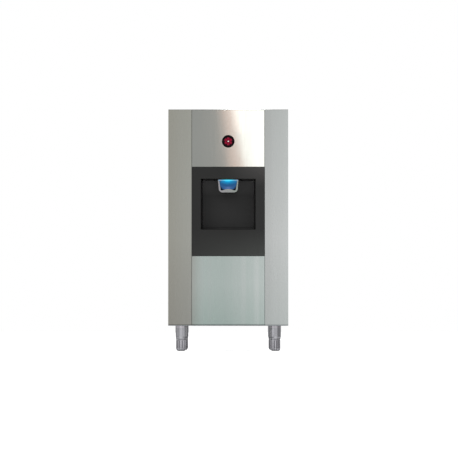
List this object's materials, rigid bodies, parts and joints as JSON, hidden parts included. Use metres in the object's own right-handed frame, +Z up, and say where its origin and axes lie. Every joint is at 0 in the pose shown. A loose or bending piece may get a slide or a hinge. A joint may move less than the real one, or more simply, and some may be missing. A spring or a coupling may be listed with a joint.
{
  "type": "ice dispenser",
  "caption": "Floor-standing ice dispenser base in brushed steel with a black dispensing recess, a blue push spout, an insulated bin with a paddle wheel, and adjustable legs.",
  "frame": {"origin": "middle of the footprint, on the floor under the feet", "axes": "+Z up, -Y to the front, +X to the right as seen from the front"},
  "size_m": [0.56, 0.79, 1.128],
  "materials": {
    "stainless_left": "satin",
    "stainless_right": "satin",
    "stainless_upper": "satin",
    "stainless_lower": "satin",
    "stainless_deck": "satin",
    "stainless_inner": "satin",
    "leg_steel": "satin",
    "foot_steel": "satin",
    "galvanised_sheet": "matte",
    "zinc_steel": "satin",
    "spring_steel": "satin",
    "gear_steel": "satin",
    "solenoid_steel": "satin",
    "stator_steel": "matte",
    "transformer_steel": "matte",
    "motor_paint": "satin",
    "cast_aluminium": "matte",
    "badge_black": "gloss",
    "black_abs": "matte",
    "silver_bezel": "satin",
    "blue_button": "gloss",
    "switch_plastic": "matte",
    "switch_button": "matte",
    "circuit_board": "satin",
    "white_polyethylene": "satin",
    "blue_nylon": "satin",
    "white_acetal": "satin",
    "gland_nylon": "satin",
    "grey_pvc": "satin",
    "seal_rubber": "matte",
    "rigid_foam": "matte"
  },
  "bodies": {
    "cabinet": {"side_panel_left": "stainless_left", "side_panel_right": "stainless_right", "upper_front_panel": "stainless_upper", "lower_front_panel": "stainless_lower", "top_deck": "stainless_deck", "back_panel": "galvanised_sheet", "base_pan": "galvanised_sheet", "leg_tubes": "leg_steel", "leg_nuts": "zinc_steel", "panel_screws": "zinc_steel", "front_frame": "galvanised_sheet", "support_frame": "galvanised_sheet", "badge": "badge_black", "dispense_panel": "black_abs", "drip_tray": "black_abs", "spout_body": "black_abs", "spout_bezel": "silver_bezel", "button_pin": "zinc_steel", "button_spring": "spring_steel", "micro_switch": "switch_plastic", "led_board": "circuit_board", "ice_chute": "white_polyethylene", "gate_solenoid": "solenoid_steel", "solenoid_bracket": "galvanised_sheet", "bin_liner": "white_polyethylene", "bin_insulation": "rigid_foam", "bin_baffle": "stainless_inner", "shaft_bushes": "white_acetal", "shaft_seal": "seal_rubber", "drive_plate": "galvanised_sheet", "gearbox_base": "cast_aluminium", "gearbox_cover": "cast_aluminium", "motor_stator": "stator_steel", "motor_shell": "motor_paint", "control_box": "galvanised_sheet", "control_box_cover": "galvanised_sheet", "control_board": "circuit_board", "transformer": "transformer_steel", "cable_gland": "gland_nylon", "drain_main": "grey_pvc", "drain_risers": "grey_pvc"},
    "dispense_button": {"dispense_button": "blue_button"},
    "switch_plunger": {"switch_plunger": "switch_button"},
    "ice_gate": {"ice_gate": "stainless_inner", "gate_pin": "stainless_inner"},
    "solenoid_plunger": {"solenoid_plunger": "stainless_inner"},
    "agitator": {"agitator_shaft": "stainless_inner", "paddle_wheel": "blue_nylon", "stir_bars": "stainless_inner", "drive_keys": "zinc_steel", "output_gear": "gear_steel"},
    "second_gear": {"second_gear_shaft": "gear_steel"},
    "first_gear": {"first_gear_shaft": "gear_steel"},
    "motor_rotor": {"motor_rotor": "gear_steel"},
    "drip_grille": {"drip_grille": "black_abs"},
    "foot_front_left": {"foot_front_left": "foot_steel"},
    "foot_front_right": {"foot_front_right": "foot_steel"},
    "foot_rear_left": {"foot_rear_left": "foot_steel"},
    "foot_rear_right": {"foot_rear_right": "foot_steel"}
  },
  "joints": [
    {"name": "button_press", "type": "hinge", "parent": "cabinet", "child": "dispense_button", "pos_m": [0, -0.3895, 0.7943], "axis": [1, 0, 0], "range_deg": [0, 9], "stiffness_Nm_per_rad": 0.12, "springref_deg": -14.32},
    {"name": "switch_travel", "type": "slide", "parent": "cabinet", "child": "switch_plunger", "axis": [0, 0, 1], "range_m": [0, 0.00115]},
    {"name": "gate_swing", "type": "hinge", "parent": "cabinet", "child": "ice_gate", "pos_m": [0, -0.16, 0.96243], "axis": [-1, 0, 0], "range_deg": [0, 45]},
    {"name": "plunger_lift", "type": "slide", "parent": "cabinet", "child": "solenoid_plunger", "axis": [0, 0, 1], "range_m": [0, 0.02]},
    {"name": "agitator_spin", "type": "hinge", "parent": "cabinet", "child": "agitator", "pos_m": [0, 0, 0.74563], "axis": [0, -1, 0], "continuous": true},
    {"name": "second_gear_spin", "type": "hinge", "parent": "cabinet", "child": "second_gear", "pos_m": [0, 0, 0.68938], "axis": [0, -1, 0], "continuous": true},
    {"name": "first_gear_spin", "type": "hinge", "parent": "cabinet", "child": "first_gear", "pos_m": [0.04616, 0, 0.69752], "axis": [0, -1, 0], "continuous": true},
    {"name": "motor_spin", "type": "hinge", "parent": "cabinet", "child": "motor_rotor", "pos_m": [0.04616, 0, 0.73752], "axis": [0, -1, 0], "continuous": true},
    {"name": "grille_lift", "type": "slide", "parent": "cabinet", "child": "drip_grille", "axis": [0, 0, 1], "range_m": [0, 0.08]},
    {"name": "level_front_left", "type": "slide", "parent": "cabinet", "child": "foot_front_left", "axis": [0, 0, -1], "range_m": [0, 0.025]},
    {"name": "level_front_right", "type": "slide", "parent": "cabinet", "child": "foot_front_right", "axis": [0, 0, -1], "range_m": [0, 0.025]},
    {"name": "level_rear_left", "type": "slide", "parent": "cabinet", "child": "foot_rear_left", "axis": [0, 0, -1], "range_m": [0, 0.025]},
    {"name": "level_rear_right", "type": "slide", "parent": "cabinet", "child": "foot_rear_right", "axis": [0, 0, -1], "range_m": [0, 0.025]}
  ],
  "couplings": [
    {"joint": "switch_travel", "follows": "button_press", "m_per_rad": 0.007},
    {"joint": "plunger_lift", "follows": "gate_swing", "m_per_rad": 0.025337},
    {"joint": "second_gear_spin", "follows": "agitator_spin", "ratio": -4},
    {"joint": "first_gear_spin", "follows": "agitator_spin", "ratio": 16},
    {"joint": "motor_spin", "follows": "agitator_spin", "ratio": -64}
  ]
}
